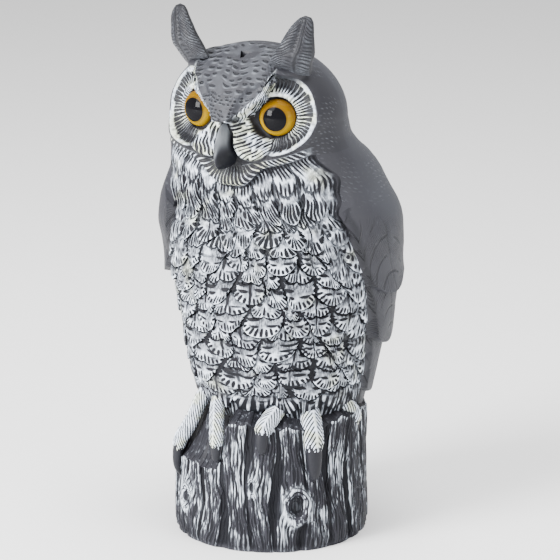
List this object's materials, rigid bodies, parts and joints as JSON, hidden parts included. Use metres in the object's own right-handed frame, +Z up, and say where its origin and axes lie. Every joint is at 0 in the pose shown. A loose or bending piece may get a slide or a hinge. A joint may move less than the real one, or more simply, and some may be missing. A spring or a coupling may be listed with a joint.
{
  "type": "owl decoy",
  "caption": "Upright horned-owl decoy moulded in one with its stump: ear tufts, scalloped breast, folded wings, clawed toes. Glossy domed eyes are set into its face.",
  "frame": {"origin": "centre of the stump's flat underside", "axes": "+Z up, the owl's face looks along -Y, +X is the owl's own left"},
  "size_m": [0.1871, 0.1679, 0.4066],
  "materials": {
    "moulded_plastic": "satin blue-grey plastic, white paint brushed over the breast, face, toes and bark",
    "eye_plastic": "glossy, amber ring with a black pupil"
  },
  "bodies": {
    "root": {"owl_on_stump": "moulded_plastic", "left_eye": "eye_plastic", "right_eye": "eye_plastic"}
  },
  "joints": []
}
